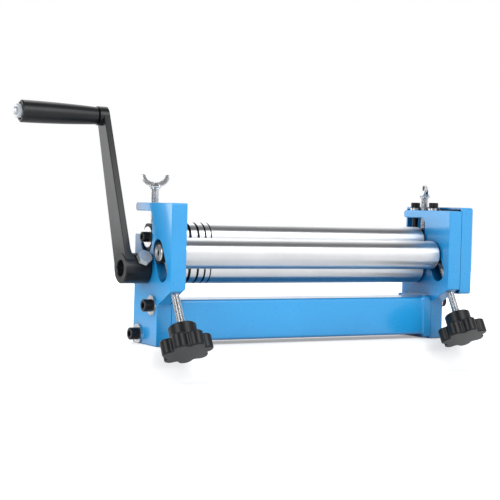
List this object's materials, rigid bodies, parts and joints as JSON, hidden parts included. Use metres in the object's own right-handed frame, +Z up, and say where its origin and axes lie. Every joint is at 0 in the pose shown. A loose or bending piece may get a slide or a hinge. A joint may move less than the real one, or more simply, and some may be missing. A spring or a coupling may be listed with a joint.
{
  "type": "slip roll machine",
  "caption": "Hand-cranked slip roll for sheet metal: geared pinch rollers and an adjustable bending roller between side frames tied by a base beam.",
  "frame": {"origin": "middle of the underside of the left side frame's foot, below the axis of the pinch rollers", "axes": "+X along the rollers from the crank side to the gear side, +Y from the bending roller towards the back, +Z up"},
  "size_m": [0.4739, 0.1678, 0.2446],
  "materials": {
    "blue_paint": "semi-gloss powder coat",
    "ground_roller_steel": "ground and polished",
    "bright_zinc": "bright zinc plated",
    "black_screw_steel": "black oxide",
    "black_bearing_steel": "blackened",
    "gear_steel": "oiled, machined",
    "spring_steel": "oiled spring steel",
    "black_crank_paint": "black enamel on cast iron",
    "black_plastic": "fine matt moulding"
  },
  "bodies": {
    "frame": {"left_frame": "blue_paint", "right_frame": "blue_paint", "base_beam": "blue_paint", "left_beam_bolts": "black_screw_steel", "right_beam_bolts": "black_screw_steel", "left_beam_washers": "bright_zinc", "right_beam_washers": "bright_zinc", "tie_screws": "black_screw_steel", "tie_washers": "bright_zinc", "left_lower_bush": "black_bearing_steel", "right_lower_bush": "black_bearing_steel", "gear_cover": "blue_paint", "cover_screws": "black_screw_steel"},
    "crank_drive": {"lower_roller": "ground_roller_steel", "lower_gear": "gear_steel", "lower_gear_key": "gear_steel", "lower_gear_circlip": "spring_steel", "crank_arm": "black_crank_paint", "crank_clamp_bolt": "bright_zinc", "grip_spindle": "bright_zinc", "grip_nut": "bright_zinc"},
    "grip": {"crank_grip": "black_plastic"},
    "upper_carriage": {"left_upper_block": "black_bearing_steel", "right_upper_block": "black_bearing_steel"},
    "upper_roller_set": {"upper_roller": "ground_roller_steel", "upper_gear": "gear_steel", "upper_gear_key": "gear_steel", "upper_gear_circlip": "spring_steel", "upper_end_screw": "black_screw_steel", "upper_end_washer": "bright_zinc"},
    "left_wing": {"left_wing_screw": "bright_zinc"},
    "right_wing": {"right_wing_screw": "bright_zinc"},
    "bending_carriage": {"left_bending_bush": "black_bearing_steel", "right_bending_bush": "black_bearing_steel"},
    "bending_roller_set": {"bending_roller": "ground_roller_steel"},
    "left_knob": {"left_knob_screw": "bright_zinc", "left_star_knob": "black_plastic"},
    "right_knob": {"right_knob_screw": "bright_zinc", "right_star_knob": "black_plastic"}
  },
  "joints": [
    {"name": "crank_turn", "type": "hinge", "parent": "frame", "child": "crank_drive", "pos_m": [0, 0, 0.0736], "axis": [1, 0, 0], "continuous": true},
    {"name": "grip_spin", "type": "hinge", "parent": "crank_drive", "child": "grip", "pos_m": [-0.08, 0.05827, 0.22154], "axis": [1, 0, 0], "continuous": true},
    {"name": "upper_lift", "type": "slide", "parent": "frame", "child": "upper_carriage", "axis": [0, 0, 1], "range_m": [0, 0.003]},
    {"name": "upper_spin", "type": "hinge", "parent": "upper_carriage", "child": "upper_roller_set", "pos_m": [0, 0, 0.1039], "axis": [1, 0, 0], "continuous": true},
    {"name": "left_wing_turn", "type": "hinge", "parent": "upper_carriage", "child": "left_wing", "pos_m": [0, 0, 0.14], "axis": [0, 0, 1], "range_deg": [0, 864.5]},
    {"name": "right_wing_turn", "type": "hinge", "parent": "upper_carriage", "child": "right_wing", "pos_m": [0.324, 0, 0.14], "axis": [0, 0, 1], "range_deg": [0, 864.5]},
    {"name": "bending_slide", "type": "slide", "parent": "frame", "child": "bending_carriage", "axis": [0, 0.4848, 0.8746], "range_m": [-0.018, 0]},
    {"name": "bending_spin", "type": "hinge", "parent": "bending_carriage", "child": "bending_roller_set", "pos_m": [0, -0.0275, 0.0895], "axis": [1, 0, 0], "continuous": true},
    {"name": "left_knob_turn", "type": "hinge", "parent": "bending_carriage", "child": "left_knob", "pos_m": [0, -0.0275, 0.0895], "axis": [0, 0.4848, 0.8746], "range_deg": [-5184.5, 0]},
    {"name": "right_knob_turn", "type": "hinge", "parent": "bending_carriage", "child": "right_knob", "pos_m": [0.324, -0.0275, 0.0895], "axis": [0, 0.4848, 0.8746], "range_deg": [-5184.5, 0]}
  ],
  "couplings": [
    {"joint": "upper_spin", "follows": "crank_turn", "ratio": -1},
    {"joint": "left_wing_turn", "follows": "upper_lift", "rad_per_m": 5026.5},
    {"joint": "right_wing_turn", "follows": "upper_lift", "rad_per_m": 5026.5},
    {"joint": "left_knob_turn", "follows": "bending_slide", "rad_per_m": 5026.5},
    {"joint": "right_knob_turn", "follows": "bending_slide", "rad_per_m": 5026.5}
  ]
}
